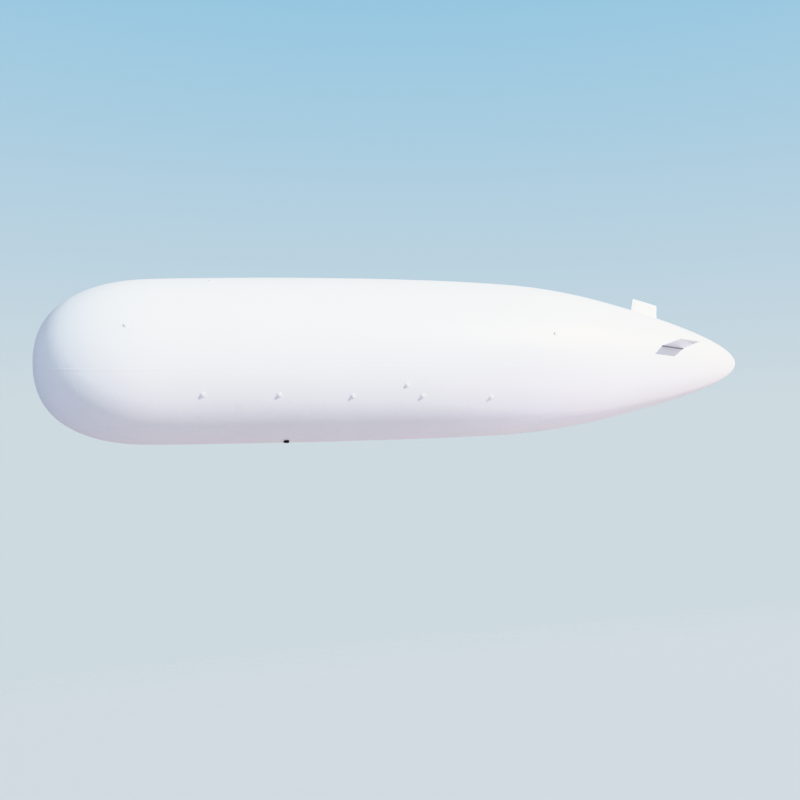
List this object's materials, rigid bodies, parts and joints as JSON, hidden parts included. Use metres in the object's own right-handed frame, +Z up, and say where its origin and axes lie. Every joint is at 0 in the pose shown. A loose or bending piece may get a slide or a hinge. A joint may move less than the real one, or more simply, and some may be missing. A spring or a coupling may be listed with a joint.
{
  "type": "advertising blimp balloon",
  "caption": "Long white inflated blimp envelope with a round nose, tapered tail, flat tail fins, side tie loops and a capped keel valve.",
  "frame": {"origin": "centre of the gas volume, on the envelope's mirror plane", "axes": "+Z up, nose towards -X and tail towards +X, left side towards -Y"},
  "size_m": [12, 2.5978, 2.6253],
  "materials": {
    "film": "soft sheen of white inflated PVC film",
    "webbing": "matt woven polyester strap",
    "valve_plastic": "fine moulded black plastic"
  },
  "bodies": {
    "root": {"gore_left": "film", "gore_upper_left": "film", "gore_top": "film", "gore_upper_right": "film", "gore_right": "film", "gore_lower_right": "film", "gore_keel": "film", "gore_lower_left": "film", "disc_nose": "film", "disc_tail": "film", "fin_left": "film", "fin_top": "film", "fin_right": "film", "tie_nose_left": "webbing", "tie_nose_right": "webbing", "tie_shoulder_left": "webbing", "tie_shoulder_right": "webbing", "tie_row_1_left": "webbing", "tie_row_1_right": "webbing", "tie_row_2_left": "webbing", "tie_row_2_right": "webbing", "tie_row_3_left": "webbing", "tie_row_3_right": "webbing", "tie_row_4_left": "webbing", "tie_row_4_right": "webbing", "tie_row_5_left": "webbing", "tie_row_5_right": "webbing", "tie_waist_left": "webbing", "tie_waist_right": "webbing", "tie_aft_left": "webbing", "tie_aft_right": "webbing", "valve_flange": "film", "valve_body": "valve_plastic"},
    "valve_cap": {"valve_cap": "valve_plastic"}
  },
  "joints": [
    {"name": "valve_cap_hinge", "type": "hinge", "parent": "root", "child": "valve_cap", "pos_m": [-1.73951, 0, -1.30452], "axis": [0, 1, 0], "range_deg": [0, 150]}
  ]
}
